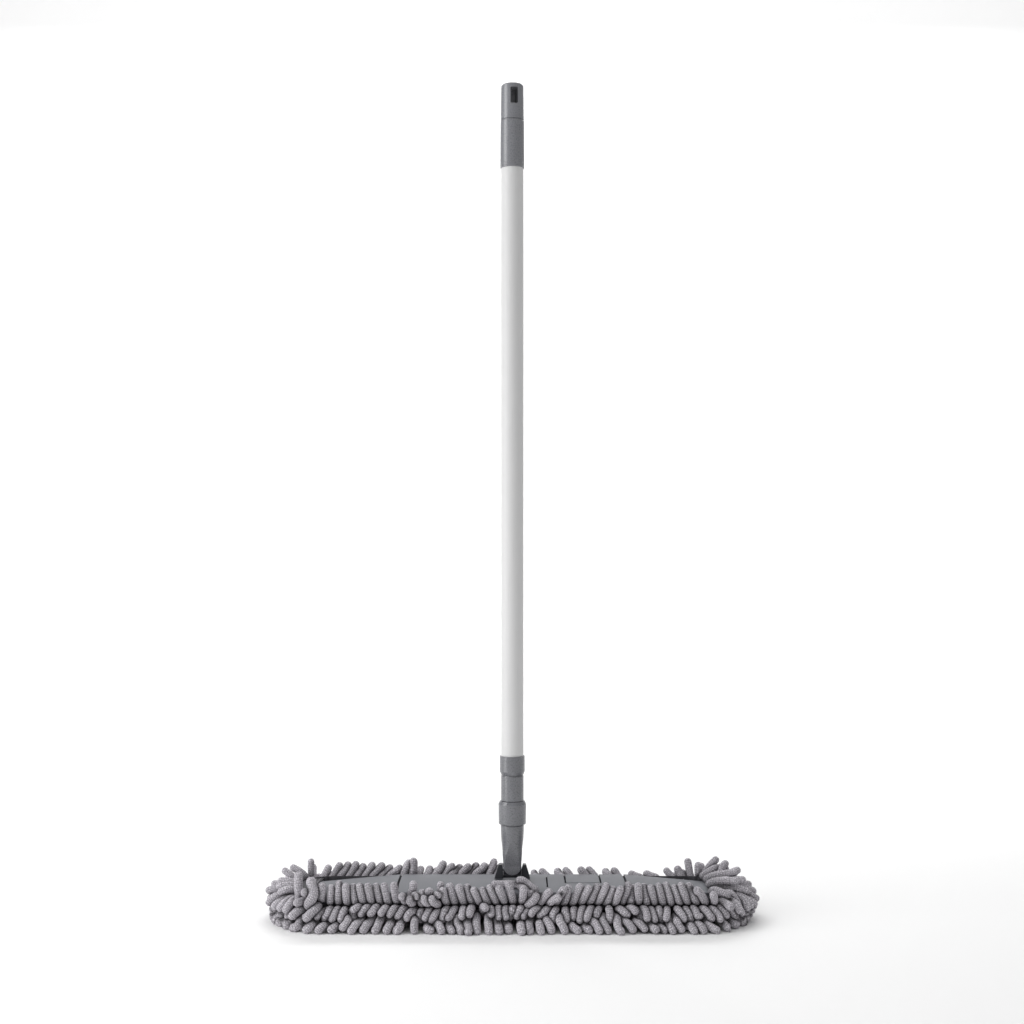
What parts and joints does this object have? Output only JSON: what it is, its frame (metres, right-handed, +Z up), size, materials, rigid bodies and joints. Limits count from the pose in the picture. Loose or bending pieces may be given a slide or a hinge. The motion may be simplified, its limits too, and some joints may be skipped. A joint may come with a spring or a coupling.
{
  "type": "dust mop",
  "caption": "Wide chenille dust mop with a telescopic handle, a two-way swivel and a folding frame inside a pocketed noodle cover.",
  "frame": {"origin": "on the floor under the swivel, in the middle of the mop head", "axes": "+X along the mop head, +Y away from the front of the head, +Z up the handle"},
  "size_m": [0.597, 0.1526, 1.0298],
  "materials": {
    "tube_paint": "satin light grey powder coat",
    "inner_alloy": "drawn aluminium tube",
    "grey_plastic": "moulded mid grey polypropylene, fine sheen",
    "dark_plastic": "moulded charcoal nylon",
    "plate_plastic": "moulded light grey polypropylene",
    "steel": "turned steel",
    "chenille": "grey microfibre chenille noodles",
    "backing_fabric": "grey woven polyester backing"
  },
  "bodies": {
    "frame": {"centre_plate": "plate_plastic", "yoke_base": "dark_plastic", "yoke_screws": "steel", "yoke_pin": "steel", "left_hinge_pin": "steel", "right_hinge_pin": "steel", "pedal_pin": "steel", "pedal_spring": "steel", "backing_centre": "chenille", "fringe_front": "chenille", "fringe_back": "chenille", "fold_strip_left": "chenille", "fold_strip_right": "chenille"},
    "left_wing": {"left_wing": "plate_plastic", "backing_left": "chenille", "pocket_left": "backing_fabric", "fringe_left_front": "chenille", "fringe_left_fan_front": "chenille", "fringe_left_fan_tip": "chenille", "fringe_left_fan_back": "chenille", "fringe_left_back": "chenille"},
    "right_wing": {"right_wing": "plate_plastic", "backing_right": "chenille", "pocket_right": "backing_fabric", "fringe_right_front": "chenille", "fringe_right_fan_front": "chenille", "fringe_right_fan_tip": "chenille", "fringe_right_fan_back": "chenille", "fringe_right_back": "chenille"},
    "pedal": {"release_pedal": "plate_plastic"},
    "knuckle": {"knuckle": "dark_plastic", "fork_pin": "steel"},
    "lower_handle": {"swivel_socket": "grey_plastic", "coupling_spigot": "dark_plastic", "tube_ferrule": "grey_plastic", "inner_tube": "inner_alloy", "glide_bush": "dark_plastic"},
    "coupling_ring": {"coupling_ring": "grey_plastic"},
    "upper_handle": {"outer_tube": "tube_paint", "collet": "dark_plastic", "grip": "grey_plastic", "hang_cap": "grey_plastic"},
    "lock_collar": {"lock_collar": "grey_plastic"}
  },
  "joints": [
    {"name": "swivel_pitch", "type": "hinge", "parent": "frame", "child": "knuckle", "pos_m": [0, 0, 0.058], "axis": [1, 0, 0], "range_deg": [-65, 65]},
    {"name": "swivel_roll", "type": "hinge", "parent": "knuckle", "child": "lower_handle", "pos_m": [0, 0, 0.064], "axis": [0, 1, 0], "range_deg": [-45, 45]},
    {"name": "telescope", "type": "slide", "parent": "lower_handle", "child": "upper_handle", "axis": [0, 0, 1], "range_m": [0, 0.5]},
    {"name": "ring_turn", "type": "hinge", "parent": "lower_handle", "child": "coupling_ring", "pos_m": [0, 0, 0.13], "axis": [0, 0, 1], "range_deg": [0, 90]},
    {"name": "collar_turn", "type": "hinge", "parent": "upper_handle", "child": "lock_collar", "pos_m": [0, 0, 0.188], "axis": [0, 0, 1], "range_deg": [0, 90]},
    {"name": "left_fold", "type": "hinge", "parent": "frame", "child": "left_wing", "pos_m": [-0.14, 0, 0.031], "axis": [0, -1, 0], "range_deg": [0, 60], "deforming": ["fold_strip_left"]},
    {"name": "right_fold", "type": "hinge", "parent": "frame", "child": "right_wing", "pos_m": [0.14, 0, 0.031], "axis": [0, 1, 0], "range_deg": [0, 60], "deforming": ["fold_strip_right"]},
    {"name": "pedal_press", "type": "hinge", "parent": "frame", "child": "pedal", "pos_m": [0.0706, 0, 0.035], "axis": [0, 1, 0], "range_deg": [0, 6], "stiffness_Nm_per_rad": 0.6, "springref_deg": -5.73, "deforming": ["pedal_spring"]}
  ]
}
